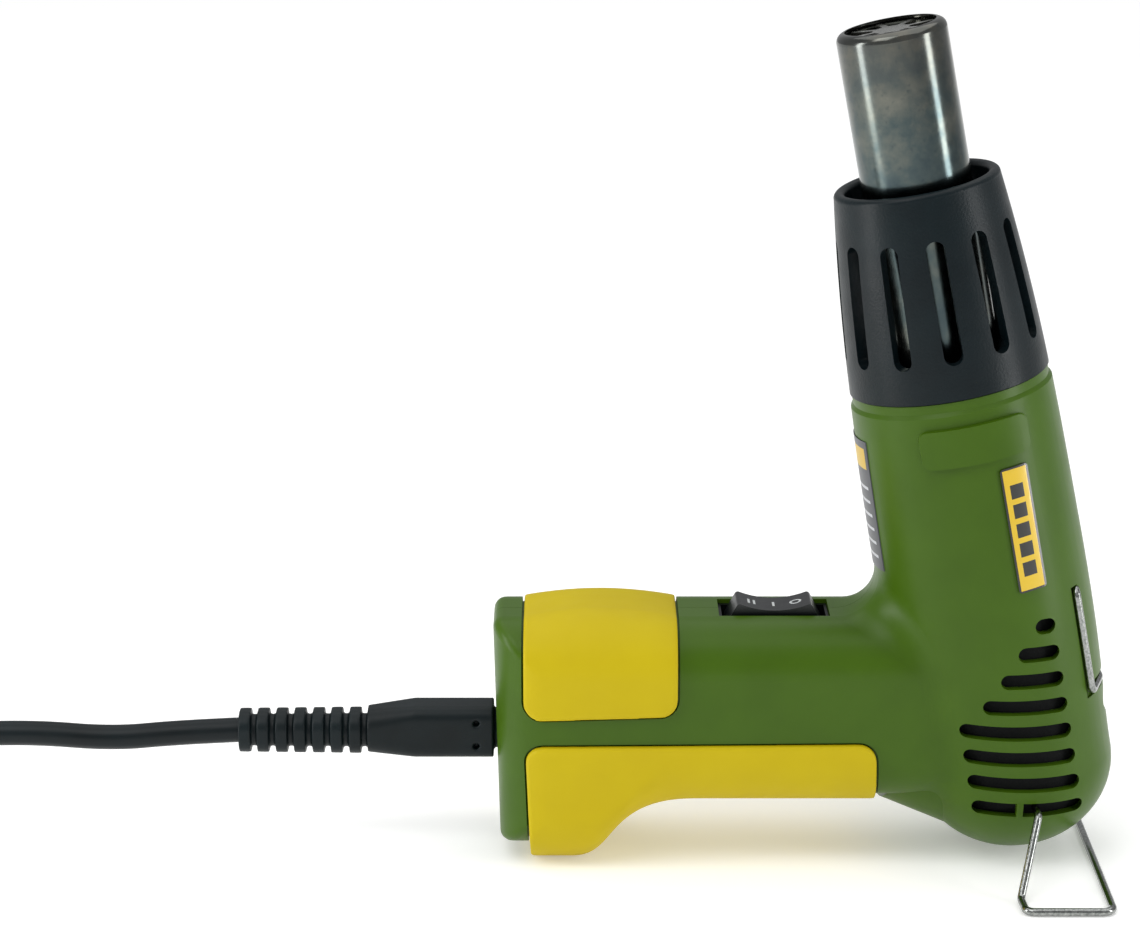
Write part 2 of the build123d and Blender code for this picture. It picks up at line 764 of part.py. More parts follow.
# ---- Rocker switch ---------------------------------------------------------------------------
switch_length = switch_opening - 2 * 0.15
switch_width = switch_opening_width - 2 * 0.15
room_length = switch_length - 2 * switch_wall
room_width = switch_width - 2 * (switch_wall + 0.4)
stub_reach = rocker_width / 2 + 0.9
with BuildPart() as switch_body:
    with BuildSketch(Plane.XY.offset(switch_bottom)):
        with Locations((switch_x, 0)):
            Rectangle(switch_length, switch_width)
    extrude(amount=switch_top - switch_bottom)
    with BuildSketch(Plane.XY.offset(switch_floor)):
        with Locations((switch_x, 0)):
            Rectangle(room_length, room_width)
    extrude(amount=switch_top - switch_floor, mode=Mode.SUBTRACT)
    rocker_pivot = Vector(switch_x, 0, rocker_pivot_z)
    add(rods_along_y([rocker_pivot], rocker_stub_r + slip, -stub_reach - slip, stub_reach + slip),
        mode=Mode.SUBTRACT)
save(switch_body, "switch_body")

with BuildPart() as rocker:
    with BuildSketch(Plane.XZ):
        with BuildLine():
            half = rocker_length / 2
            left = switch_x - half
            right = switch_x + half
            Polyline((left + 2.6, rocker_pivot_z - 3.6), (left, rocker_end_z - 3.0), (left, rocker_end_z),
                     (switch_x - rocker_crest, rocker_crest_z))
            ThreePointArc((switch_x - rocker_crest, rocker_crest_z), (switch_x, rocker_crest_z - rocker_hollow),
                          (switch_x + rocker_crest, rocker_crest_z))
            Polyline((switch_x + rocker_crest, rocker_crest_z), (right, rocker_end_z), (right, rocker_end_z - 3.0),
                     (right - 2.6, rocker_pivot_z - 3.6), (left + 2.6, rocker_pivot_z - 3.6))
        make_face()
    extrude(amount=rocker_width / 2, both=True)
    crests = [e for e in rocker.edges() if e.geom_type == GeomType.LINE and abs((e @ 0.5).Z - rocker_crest_z) < 0.01]
    fillet(crests, 0.9)
    add(rods_along_y([rocker_pivot], rocker_stub_r, -stub_reach, stub_reach))
save(rocker, "rocker")

terminal_xs = [switch_x - 9.75, switch_x - 3.25, switch_x + 3.25, switch_x + 9.75]
terminal_length = 7.0
with BuildPart() as switch_terminals:
    with BuildSketch(Plane.XY.offset(switch_bottom)):
        with Locations(*[(x, 0) for x in terminal_xs]):
            Rectangle(0.8, 6.3)
    extrude(amount=-terminal_length)
save(switch_terminals, "switch_terminals")

capacitor_x = -45.0
with BuildPart() as capacitor:
    with BuildSketch(Plane.XY.offset(43.0)):
        with Locations((capacitor_x, 0)):
            RectangleRounded(15.0, 8.0, 0.8)
    extrude(amount=12.0)
save(capacitor, "capacitor")

# ---- Cord entry ------------------------------------------------------------------------------
relief_start_x = handle_end_x - 0.1
inner_wall_x = handle_end_x + handle_end_slope + wall
inner_cord_end = -57.0
neck_r = relief_width / 2 - 1.0 - slip
with BuildPart() as strain_relief:
    with BuildSketch(Plane.YZ.offset(relief_start_x)):
        with Locations((0, cord_z)):
            RectangleRounded(relief_width, relief_height, 3.2)
    extrude(amount=relief_root_x - relief_start_x)
    with BuildSketch(Plane.YZ.offset(relief_root_x)):
        with Locations((0, cord_z)):
            RectangleRounded(relief_width, relief_height, 3.2)
    with BuildSketch(Plane.YZ.offset(relief_rib_x)):
        with Locations((0, cord_z - 0.3)):
            RectangleRounded(2 * rib_r, 2 * rib_r, 4.6)
    loft()
    rib_pitch = (relief_rib_x - relief_end_x) / rib_count
    with BuildSketch(Plane.YZ.offset(relief_rib_x)):
        with Locations((0, cord_route[0][2])):
            Circle(rib_core_r)
    extrude(amount=relief_end_x - relief_rib_x)
    for rib in range(rib_count):
        with BuildSketch(Plane.YZ.offset(relief_rib_x - (rib + 1) * rib_pitch)):
            with Locations((0, cord_route[0][2])):
                RectangleRounded(2 * rib_r, 2 * rib_r, 4.6)
        extrude(amount=rib_width)
    with BuildSketch(Plane.YZ.offset(relief_start_x)):
        with Locations((0, cord_z)):
            Circle(neck_r)
    extrude(amount=inner_wall_x + 2.4 - relief_start_x)
    with BuildSketch(Plane.YZ.offset(inner_wall_x + 0.2)):
        with Locations((0, cord_z)):
            Circle(neck_r + 2.2)
    extrude(amount=2.2)
save(strain_relief, "strain_relief")

with BuildPart() as inner_sheath:
    with BuildSketch(Plane.YZ.offset(inner_wall_x + 2.4)):
        with Locations((0, cord_z)):
            Circle(cord_r)
    extrude(amount=inner_cord_end - inner_wall_x - 2.4)
save(inner_sheath, "inner_sheath")

clamp_x = -65.0
clamp_length = 8.0
clamp_width = 22.0
clamp_thick = 3.0
clamp_bolt_y = 7.2
for name, low_z in (("cord_clamp_base", cord_z - cord_r - clamp_thick), ("cord_clamp", cord_z + cord_r)):
    with BuildPart() as clamp_bar:
        with BuildSketch(Plane.XY.offset(low_z)):
            with Locations((clamp_x, 0)):
                RectangleRounded(clamp_length, clamp_width, 1.0)
            with Locations((clamp_x, -clamp_bolt_y), (clamp_x, clamp_bolt_y)):
                Circle(clamp_screw_r + slip, mode=Mode.SUBTRACT)
        extrude(amount=clamp_thick)
    save(clamp_bar, name)

with BuildPart() as clamp_screws:
    with BuildSketch(Plane.XY.offset(cord_z + cord_r + clamp_thick)):
        with Locations((clamp_x, -clamp_bolt_y), (clamp_x, clamp_bolt_y)):
            Circle(clamp_head_r)
    extrude(amount=clamp_head_thick)
    with BuildSketch(Plane.XY.offset(cord_z + cord_r + clamp_thick)):
        with Locations((clamp_x, -clamp_bolt_y), (clamp_x, clamp_bolt_y)):
            Circle(clamp_screw_r)
    extrude(amount=-2 * (clamp_thick + cord_r))
save(clamp_screws, "clamp_screws")

lead_r = 0.9
terminal_z = switch_bottom - terminal_length - lead_r
with BuildPart() as supply_leads:
    for lead_y, terminal_x in ((1.4, terminal_xs[0]), (-1.4, terminal_xs[1])):
        add(wire([(inner_cord_end, lead_y, cord_z), (-48, 2 * lead_y, 29.5), (-30, 2 * lead_y, 28.0),
                  (terminal_x - 3, lead_y, 29.0), (terminal_x, 0, terminal_z + lead_r)], [8, 8, 6], lead_r))
save(supply_leads, "supply_leads")

with BuildPart() as motor_leads:
    for lead_y, terminal_x in ((2.2, terminal_xs[2]), (-2.2, terminal_xs[3])):
        board_edge = barrel_point(-board_r - 0.1, lead_y, board_s - board_thick / 2)
        add(wire([(terminal_x, 0, terminal_z + lead_r), (terminal_x + 2, lead_y / 2, 29.0),
                  (14, lead_y, 25.5), (33, lead_y, 26.0), board_edge], [3, 8, 6], lead_r))
save(motor_leads, "motor_leads")

# ---- Stand and hanging bail ------------------------------------------------------------------
stand_half = [
    (stand_pivot_x + stand_arm, stand_arm_y, stand_pivot_z),
    (stand_pivot_x, stand_arm_y, stand_pivot_z),
    (stand_pivot_x, stand_exit_y, stand_pivot_z),
    (stand_leg_x, stand_leg_y, wire_r),
    (stand_leg_x + 0.4, stand_foot_y, wire_r),
    (stand_bar_x, stand_foot_y, wire_r),
]
stand_points = [(x, -y, z) for x, y, z in stand_half] + list(reversed(stand_half))
stand_radii = [2.0, 2.2, 2.2, 2.2, 3.0, 3.0, 2.2, 2.2, 2.2, 2.0]
with BuildPart() as stand_wire:
    add(wire(stand_points, stand_radii, wire_r))
save(stand_wire, "stand_wire")

bail_half = [
    (bail_u, bail_end_y, bail_s0),
    (bail_u, bail_y, bail_s0),
    (bail_u, bail_y, bail_s1),
    (bail_mid_u, 7.0, bail_s1),
]
bail_points = [barrel_point(u, -y, s) for u, y, s in bail_half]
bail_points += [barrel_point(u, y, s) for u, y, s in reversed(bail_half)]
with BuildPart() as hanging_bail:
    add(wire(bail_points, [1.8, 1.8, 8.0, 8.0, 1.8, 1.8], wire_r))
save(hanging_bail, "hanging_bail")

# ---- Cord, coil and plug ---------------------------------------------------------------------
route = [Vector(*point) for point in cord_route]
cord_radii = []
for before, corner, after in zip(route, route[1:], route[2:]):
    turn = (corner - before).get_angle(after - corner)
    shorter = min((corner - before).length, (after - corner).length)
    cord_radii.append(0.45 * shorter / tan(radians(turn / 2)))
print("cord radii", [round(r, 1) for r in cord_radii])
with BuildPart() as cord:
    with BuildLine() as cord_path:
        FilletPolyline(*route, radius=cord_radii)
    with BuildSketch(Plane(origin=cord_path.line @ 0, z_dir=cord_path.line % 0)):
        Circle(cord_r)
    sweep()
save(cord, "cord")
cord_length = sum(edge.length for edge in cord_path.edges())
print("cord length", round(cord_length, 1), "volume over section times length",
      round(cord.part.volume / (pi * cord_r ** 2 * cord_length), 4))

last_run = (route[-1] - route[-2]).normalized()
flat_run = Vector(last_run.X, last_run.Y, 0).normalized()
coil_side = Vector(flat_run.Y, -flat_run.X, 0) * -1
coil_outer = coil_mean_r + coil_half_width
coil_reach = sqrt((coil_outer + 0.3) ** 2 - (coil_mean_r - cord_r) ** 2)
coil_middle = Vector(route[-1].X, route[-1].Y, 0) + flat_run * coil_reach + coil_side * coil_mean_r
print("coil middle", coil_middle)
with BuildPart() as cord_coil:
    with BuildSketch(Plane(origin=coil_middle, x_dir=(1, 0, 0), z_dir=(0, -1, 0))):
        with Locations((coil_mean_r, coil_height / 2)):
            RectangleRounded(2 * coil_half_width, coil_height, 4.5)
    revolve(axis=Axis(coil_middle, (0, 0, 1)))
    with BuildSketch(Plane(origin=route[-1], z_dir=last_run)):
        Circle(cord_r)
    extrude(amount=coil_stub)
    plug_y = coil_middle.Y - coil_mean_r
    with BuildSketch(Plane.YZ.offset(coil_middle.X)):
        with Locations((plug_y, plug_neck_r + 0.2)):
            Circle(cord_r)
    extrude(amount=plug_lead)
save(cord_coil, "cord_coil")

plug_x = coil_middle.X + plug_lead
with BuildPart() as plug_body:
    with BuildSketch(Plane.YZ.offset(plug_x)):
        with Locations((plug_y, plug_neck_r + 0.2)):
            Circle(plug_neck_r)
    extrude(amount=plug_neck)
    with BuildSketch(Plane.YZ.offset(plug_x + plug_neck)):
        with Locations((plug_y, plug_height / 2)):
            RectangleRounded(plug_width, plug_height, 4.0)
    extrude(amount=plug_length)
save(plug_body, "plug_body")

with BuildPart() as plug_pins:
    with BuildSketch(Plane.YZ.offset(plug_x + plug_neck + plug_length)):
        with Locations((plug_y - pin_spacing / 2, plug_height / 2), (plug_y + pin_spacing / 2, plug_height / 2)):
            Circle(pin_r)
    extrude(amount=pin_length)
save(plug_pins, "plug_pins")
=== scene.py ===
import json
from math import cos, pi, radians, sin

import bpy
from mathutils import Matrix, Vector


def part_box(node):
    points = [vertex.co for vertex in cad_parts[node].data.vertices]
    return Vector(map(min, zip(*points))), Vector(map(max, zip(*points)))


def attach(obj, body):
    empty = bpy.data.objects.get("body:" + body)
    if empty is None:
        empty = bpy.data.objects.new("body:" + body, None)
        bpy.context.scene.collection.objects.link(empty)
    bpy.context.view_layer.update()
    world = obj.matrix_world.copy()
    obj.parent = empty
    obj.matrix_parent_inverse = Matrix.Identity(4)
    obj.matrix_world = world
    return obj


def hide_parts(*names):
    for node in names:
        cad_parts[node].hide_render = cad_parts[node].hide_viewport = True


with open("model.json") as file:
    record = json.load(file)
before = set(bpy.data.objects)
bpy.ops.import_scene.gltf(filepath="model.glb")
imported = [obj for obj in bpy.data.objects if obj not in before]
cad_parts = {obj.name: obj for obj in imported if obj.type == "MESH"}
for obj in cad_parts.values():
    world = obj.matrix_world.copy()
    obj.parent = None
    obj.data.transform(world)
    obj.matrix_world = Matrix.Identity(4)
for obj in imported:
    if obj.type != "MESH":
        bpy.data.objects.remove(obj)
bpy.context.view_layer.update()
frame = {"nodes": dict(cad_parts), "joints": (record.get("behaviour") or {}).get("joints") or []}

bl_info = {
    "name": "Compact heat gun",
    "version": (1, 0, 0),
    "blender": (4, 5, 0),
    "location": "3D View > Sidebar > Heat gun",
    "description": "Finishes the heat gun's pieces and sets the stage round it",
    "category": "Object",
}

MM = 0.001
JOINTS = {joint["name"]: joint for joint in frame["joints"]}


def barrel_frame():
    """The barrel's axis and a point on it, from the fan's joint."""
    spin = JOINTS["fan_spin"]
    axis = Vector(spin["axis"]).normalized()
    return Vector(spin["pos_m"]), axis


AXIS_POINT, AXIS = barrel_frame()
REAR = Vector((AXIS.z, 0, -AXIS.x))


def barrel_place(u, y, s):
    """A point by its distance behind the barrel's axis, across it, and along it from the fan's joint."""
    return AXIS_POINT + REAR * u + AXIS * s + Vector((0, y, 0))


def barrel_turn():
    """Turns a piece made on the world's axes to the barrel's, so that its z runs along the barrel."""
    return Matrix((REAR, Vector((0, 1, 0)), AXIS)).transposed().to_4x4()


# ---- Materials -------------------------------------------------------------------------------
def srgb(hex_colour, alpha=1.0):
    """A hex colour as linear red, green, blue and alpha."""
    parts = [int(hex_colour[i:i + 2], 16) / 255 for i in (1, 3, 5)]
    return [p / 12.92 if p < 0.04045 else ((p + 0.055) / 1.055) ** 2.4 for p in parts] + [alpha]


def new_material(name):
    """An empty node material with its shader and output."""
    material = bpy.data.materials.new(name)
    material.use_nodes = True
    tree = material.node_tree
    tree.nodes.clear()
    out = tree.nodes.new("ShaderNodeOutputMaterial")
    shader = tree.nodes.new("ShaderNodeBsdfPrincipled")
    tree.links.new(shader.outputs["BSDF"], out.inputs["Surface"])
    return material, tree, shader


def put(tree, kind, settings=None, links=None):
    """Adds one node; settings name its properties or inputs, links say what feeds which input."""
    node = tree.nodes.new(kind)
    for key, value in (settings or {}).items():
        if isinstance(key, str) and hasattr(node, key):
            setattr(node, key, value)
        else:
            node.inputs[key].default_value = value
    for key, socket in (links or {}).items():
        tree.links.new(socket, node.inputs[key])
    return node


def ramp(tree, factor, stops):
    """A colour ramp with the stops given as place and colour."""
    node = put(tree, "ShaderNodeValToRGB", links={"Fac": factor})
    band = node.color_ramp
    band.elements[0].position, band.elements[0].color = stops[0]
    band.elements[1].position, band.elements[1].color = stops[-1]
    for place, colour in stops[1:-1]:
        band.elements.new(place).color = colour
    return node.outputs["Color"]


def moulded(name, colour, shade, roughness, grain_mm, depth_mm, spread=0.08, sheen=0.0):
    """A moulded polymer: colour clouds of a few millimetres, and a fine spark-eroded grain."""
    material, tree, shader = new_material(name)
    place = put(tree, "ShaderNodeTexCoord").outputs["Object"]
    cloud = put(tree, "ShaderNodeTexNoise", {"Scale": 1 / (14 * MM), "Detail": 3.0}, {"Vector": place})
    tint = ramp(tree, cloud.outputs["Fac"], [(0.3, srgb(shade)), (0.7, srgb(colour))])
    tree.links.new(tint, shader.inputs["Base Color"])
    grain = put(tree, "ShaderNodeTexNoise", {"Scale": 1 / (grain_mm * MM), "Detail": 2.0}, {"Vector": place})
    wear = put(tree, "ShaderNodeTexNoise", {"Scale": 1 / (6 * MM), "Detail": 4.0}, {"Vector": place})
    rough = put(tree, "ShaderNodeMapRange", {"To Min": roughness - spread, "To Max": roughness + spread},
                {"Value": wear.outputs["Fac"]})
    tree.links.new(rough.outputs["Result"], shader.inputs["Roughness"])
    bump = put(tree, "ShaderNodeBump", {"Strength": 0.5, "Distance": depth_mm * MM},
               {"Height": grain.outputs["Fac"]})
    tree.links.new(bump.outputs["Normal"], shader.inputs["Normal"])
    shader.inputs["IOR"].default_value = 1.5
    shader.inputs["Specular IOR Level"].default_value = 0.22
    if sheen:
        shader.inputs["Sheen Weight"].default_value = sheen
        shader.inputs["Sheen Roughness"].default_value = 0.4
    return material


def metal(name, colour, shade, roughness, streak_mm=0.6, depth_mm=0.004, along=(1.0, 1.0, 1.0)):
    """A bare metal with faint drawing or rolling marks and a varying polish."""
    material, tree, shader = new_material(name)
    place = put(tree, "ShaderNodeTexCoord").outputs["Object"]
    turned = put(tree, "ShaderNodeMapping", {"Scale": along}, {"Vector": place})
    marks = put(tree, "ShaderNodeTexNoise", {"Scale": 1 / (streak_mm * MM), "Detail": 3.0},
                {"Vector": turned.outputs["Vector"]})
    tint = ramp(tree, marks.outputs["Fac"], [(0.3, srgb(shade)), (0.7, srgb(colour))])
    tree.links.new(tint, shader.inputs["Base Color"])
    rough = put(tree, "ShaderNodeMapRange", {"To Min": roughness * 0.7, "To Max": roughness * 1.4},
                {"Value": marks.outputs["Fac"]})
    tree.links.new(rough.outputs["Result"], shader.inputs["Roughness"])
    bump = put(tree, "ShaderNodeBump", {"Strength": 0.3, "Distance": depth_mm * MM},
               {"Height": marks.outputs["Fac"]})
    tree.links.new(bump.outputs["Normal"], shader.inputs["Normal"])
    shader.inputs["Metallic"].default_value = 1.0
    return material


def barrel_coordinates(tree):
    """Sockets of u, y and s in millimetres on the barrel, from Object coordinates."""
    place = put(tree, "ShaderNodeTexCoord").outputs["Object"]
    moved = put(tree, "ShaderNodeVectorMath", {"operation": "SUBTRACT", 1: AXIS_POINT}, {0: place})
    sockets = []
    for direction in (REAR, Vector((0, 1, 0)), AXIS):
        along = put(tree, "ShaderNodeVectorMath", {"operation": "DOT_PRODUCT", 1: direction / MM},
                    {0: moved.outputs["Vector"]})
        sockets.append(along.outputs["Value"])
    return sockets


def between(tree, value, low, high):
    """1 where the value is between low and high, else 0."""
    middle, half = (low + high) / 2, (high - low) / 2
    node = put(tree, "ShaderNodeMath", {"operation": "COMPARE", 1: middle, 2: half}, {0: value})
    return node.outputs["Value"]


def times(tree, a, b):
    return put(tree, "ShaderNodeMath", {"operation": "MULTIPLY"}, {0: a, 1: b}).outputs["Value"]


def paint(tree, base, colour, mask):
    """The base colour with another colour where the mask is 1."""
    mix = put(tree, "ShaderNodeMix", {"data_type": "RGBA", 7: srgb(colour)}, {0: mask, 6: base})
    return mix.outputs[2]


def dress(node_name, material):
    """Gives a CAD node its finished material."""
    mesh = frame["nodes"][node_name].data
    mesh.materials.clear()
    mesh.materials.append(material)


def housing_material(colour, shade):
    """Glass-filled polyamide: satin, a fine grain, and the colour a little uneven from the flow."""
    return moulded("glass_filled_polyamide", colour, shade, 0.36, 0.4, 0.03, spread=0.05)


def grip_material(colour, shade):
    """Thermoplastic elastomer: matt and soft, with a fine grain."""
    return moulded("thermoplastic_elastomer", colour, shade, 0.58, 0.5, 0.04)


def nozzle_material():
    """Polished stainless steel, smoked evenly by heat: a dark blue-grey film with paler, rubbed patches,
    browner towards the mouth, with fine soot specks. Its bright streaks are the lights' reflections."""
    material, tree, shader = new_material("polished_stainless_heat_tinted")
    _, _, s = barrel_coordinates(tree)
    place = put(tree, "ShaderNodeTexCoord").outputs["Object"]
    film = put(tree, "ShaderNodeTexNoise", {"Scale": 1 / (9 * MM), "Detail": 5.0, "Roughness": 0.6},
               {"Vector": place})
    tint = ramp(tree, film.outputs["Fac"], [
        (0.25, srgb("#3F4B50")), (0.45, srgb("#4E5959")), (0.6, srgb("#626762")), (0.8, srgb("#787970"))])
    mouth = put(tree, "ShaderNodeMapRange", {"From Min": 128.0, "From Max": 150.0, "To Max": 0.35},
                {"Value": s})
    browned = put(tree, "ShaderNodeMix", {"data_type": "RGBA", 7: srgb("#6B5F55")},
                  {0: mouth.outputs["Result"], 6: tint})
    specks = put(tree, "ShaderNodeTexNoise", {"Scale": 1 / (1.2 * MM), "Detail": 3.0}, {"Vector": place})
    soot = put(tree, "ShaderNodeMapRange", {"From Min": 0.60, "From Max": 0.74, "To Max": 0.5},
               {"Value": specks.outputs["Fac"]})
    spotted = put(tree, "ShaderNodeMix", {"data_type": "RGBA", 7: srgb("#3C464A")},
                  {0: soot.outputs["Result"], 6: browned.outputs[2]})
    tree.links.new(spotted.outputs[2], shader.inputs["Base Color"])
    polish = put(tree, "ShaderNodeTexNoise", {"Scale": 1 / (2.5 * MM), "Detail": 5.0}, {"Vector": place})
    rough = put(tree, "ShaderNodeMapRange", {"To Min": 0.10, "To Max": 0.24}, {"Value": polish.outputs["Fac"]})
    tree.links.new(rough.outputs["Result"], shader.inputs["Roughness"])
    ripple = put(tree, "ShaderNodeTexNoise", {"Scale": 1 / (9 * MM), "Detail": 1.0}, {"Vector": place})
    bump = put(tree, "ShaderNodeBump", {"Strength": 0.25, "Distance": 0.06 * MM},
               {"Height": ripple.outputs["Fac"]})
    tree.links.new(bump.outputs["Normal"], shader.inputs["Normal"])
    shader.inputs["Metallic"].default_value = 1.0
    return material


def badge_material():
    """Printed and laminated foil: a yellow field with a black border and five plain black squares."""
    material, tree, shader = new_material("laminated_printed_foil")
    u, _, s = barrel_coordinates(tree)
    middle, field_half, field_low, field_high = 10.1, 3.05, 9.7, 40.7
    square_half, first_square, square_pitch, square_length = 1.7, 13.2, 5.0, 3.6
    field = put(tree, "ShaderNodeRGB")
    field.outputs[0].default_value = srgb("#0E0F0D")
    inner = times(tree, between(tree, u, middle - field_half, middle + field_half),
                  between(tree, s, field_low, field_high))
    colour = paint(tree, field.outputs[0], "#D9B400", inner)
    for square in range(5):
        low = first_square + square * square_pitch
        mark = times(tree, between(tree, u, middle - square_half, middle + square_half),
                     between(tree, s, low, low + square_length))
        colour = paint(tree, colour, "#14150F", mark)
    tree.links.new(colour, shader.inputs["Base Color"])
    shader.inputs["Roughness"].default_value = 0.28
    shader.inputs["Coat Weight"].default_value = 0.5
    return material


def label_material():
    """Printed foil in dark grey, with a yellow block and blank pale lines."""
    material, tree, shader = new_material("printed_rating_foil")
    _, y, s = barrel_coordinates(tree)
    field = put(tree, "ShaderNodeRGB")
    field.outputs[0].default_value = srgb("#34363C")
    block = times(tree, between(tree, y, -8.6, 8.6), between(tree, s, 42.5, 48.0))
    colour = paint(tree, field.outputs[0], "#C9A512", block)
    for line in range(6):
        low = 19.0 + line * 3.6
        mark = times(tree, between(tree, y, -8.0, 8.0 - (line % 3) * 2.5), between(tree, s, low, low + 0.8))
        colour = paint(tree, colour, "#B9BBC0", mark)
    tree.links.new(colour, shader.inputs["Base Color"])
    shader.inputs["Roughness"].default_value = 0.35
    return material


def rocker_material():
    """Smooth black polycarbonate with three pad-printed position marks: two bars, a bar and a ring."""
    material, tree, shader = new_material("polycarbonate_pad_printed")
    place = put(tree, "ShaderNodeTexCoord").outputs["Object"]
    split = put(tree, "ShaderNodeSeparateXYZ", links={"Vector": place})
    x, y, z = split.outputs
    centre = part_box("rocker")
    middle_x = (centre[0][0] + centre[1][0]) / 2
    top_z = centre[1][2]
    base = put(tree, "ShaderNodeRGB")
    base.outputs[0].default_value = srgb("#0B0F11")
    on_top = between(tree, z, top_z - 2.4 * MM, top_z + 1 * MM)
    colour = base.outputs[0]
    for bar_x in (-6.3, -4.9, 0.0):
        bar = times(tree, between(tree, x, middle_x + (bar_x - 0.3) * MM, middle_x + (bar_x + 0.3) * MM),
                    between(tree, y, -1.6 * MM, 1.6 * MM))
        colour = paint(tree, colour, "#C8CCCC", times(tree, bar, on_top))
    ring_place = put(tree, "ShaderNodeVectorMath",
                     {"operation": "SUBTRACT", 1: (middle_x + 5.6 * MM, 0, 0)}, {0: place})
    flat = put(tree, "ShaderNodeVectorMath", {"operation": "MULTIPLY", 1: (1.0, 1.0, 0.0)},
               {0: ring_place.outputs["Vector"]})
    far = put(tree, "ShaderNodeVectorMath", {"operation": "LENGTH"}, {0: flat.outputs["Vector"]})
    ring = times(tree, between(tree, far.outputs["Value"], 0.95 * MM, 1.5 * MM), on_top)
    colour = paint(tree, colour, "#C8CCCC", ring)
    tree.links.new(colour, shader.inputs["Base Color"])
    wear = put(tree, "ShaderNodeTexNoise", {"Scale": 1 / (3 * MM), "Detail": 4.0}, {"Vector": place})
    rough = put(tree, "ShaderNodeMapRange", {"To Min": 0.28, "To Max": 0.42}, {"Value": wear.outputs["Fac"]})
    tree.links.new(rough.outputs["Result"], shader.inputs["Roughness"])
    return material


# ---- Mesh work -------------------------------------------------------------------------------
def deselect():
    bpy.ops.object.select_all(action="DESELECT")


def settle(piece, name, material):
    """Names a finished piece, puts its place into its mesh and dresses it."""
    deselect()
    piece.select_set(True)
    bpy.context.view_layer.objects.active = piece
    bpy.ops.object.transform_apply(location=True, rotation=True, scale=True)
    piece.name = name
    piece.data.materials.clear()
    piece.data.materials.append(material)
    return piece


def curve_piece(name, points, radius, material, order=3):
    """A round cord along a NURBS spline with these control points."""
    data = bpy.data.curves.new(name, "CURVE")
    data.dimensions = "3D"
    spline = data.splines.new("NURBS")
    spline.points.add(len(points) - 1)
    for point, place in zip(spline.points, points):
        point.co = (*place, 1.0)
    spline.order_u = order
    spline.use_endpoint_u = True
    data.resolution_u = 12
    data.bevel_depth = radius
    data.bevel_resolution = 6
    data.use_fill_caps = True
    piece = bpy.data.objects.new(name, data)
    bpy.context.scene.collection.objects.link(piece)
    data.materials.append(material)
    return piece


def remeshed_copy(node_name, name, voxel, smoothing, material, cutter=None):
    """A moulded rubber piece from a CAD node: merged, remeshed fine, and its sharp edges melted round.
    A cutter is taken out of it first."""
    source = frame["nodes"][node_name]
    piece = bpy.data.objects.new(name, source.data.copy())
    bpy.context.scene.collection.objects.link(piece)
    deselect()
    piece.select_set(True)
    bpy.context.view_layer.objects.active = piece
    bpy.ops.object.mode_set(mode="EDIT")
    bpy.ops.mesh.select_all(action="SELECT")
    bpy.ops.mesh.remove_doubles(threshold=0.005 * MM)
    bpy.ops.mesh.normals_make_consistent(inside=False)
    bpy.ops.object.mode_set(mode="OBJECT")
    if cutter:
        cut = piece.modifiers.new("Holes", "BOOLEAN")
        cut.operation = "DIFFERENCE"
        cut.object = cutter
        bpy.ops.object.modifier_apply(modifier=cut.name)
        bpy.data.objects.remove(cutter)
    remesh = piece.modifiers.new("Remesh", "REMESH")
    remesh.mode = "VOXEL"
    remesh.voxel_size = voxel
    remesh.use_smooth_shade = True
    bpy.ops.object.modifier_apply(modifier=remesh.name)
    smooth = piece.modifiers.new("Smooth", "SMOOTH")
    smooth.factor = 0.5
    smooth.iterations = smoothing
    bpy.ops.object.modifier_apply(modifier=smooth.name)
    piece.data.materials.clear()
    piece.data.materials.append(material)
    return piece


# ---- Sizes and colours a user would change ---------------------------------------------------
class HeatGunHousingSettings(bpy.types.PropertyGroup):
    colour: bpy.props.StringProperty(name="Colour", description="The housing's colour as hex",
                                     default="#3F5E08")
    shade: bpy.props.StringProperty(name="Shade", description="The colour in the darker flow marks",
                                    default="#3B5906")


class HeatGunGripSettings(bpy.types.PropertyGroup):
    colour: bpy.props.StringProperty(name="Colour", description="The grip's colour as hex",
                                     default="#C2AD02")
    shade: bpy.props.StringProperty(name="Shade", description="The colour where the grip is handled",
                                    default="#BEA802")
    voxel: bpy.props.FloatProperty(name="Fineness", description="The size of the remesh's cells",
                                   default=0.5 * MM, unit="LENGTH", precision=5)
    crown: bpy.props.FloatProperty(name="Crown", description="How far the upper pad's top swells",
                                   default=1.1 * MM, unit="LENGTH", precision=5)


class HeatGunCordSettings(bpy.types.PropertyGroup):
    radius: bpy.props.FloatProperty(name="Radius", description="Half the cord's thickness",
                                    default=3.2 * MM, unit="LENGTH", precision=5)
    length: bpy.props.FloatProperty(name="Length", description="The cord from the relief to the plug",
                                    default=1.5, unit="LENGTH")
    colour: bpy.props.StringProperty(name="Colour", description="The cord's colour as hex",
                                     default="#0B1518")


class HeatGunStageSettings(bpy.types.PropertyGroup):
    floor_colour: bpy.props.StringProperty(name="Floor", description="The floor's colour as hex",
                                           default="#F4F4F3")
    floor_glow: bpy.props.FloatProperty(name="Floor glow", description="How much the lit floor shines itself",
                                        default=0.3)
    key_power: bpy.props.FloatProperty(name="Key light", description="The main light's power",
                                       default=2.4, unit="POWER")


# ---- The stage -------------------------------------------------------------------------------
CAMERA_PLACE = Vector((-60.0, -775.0, 321.6)) * MM
CAMERA_TILT = radians(16.0)
CAMERA_LENS = 101.05


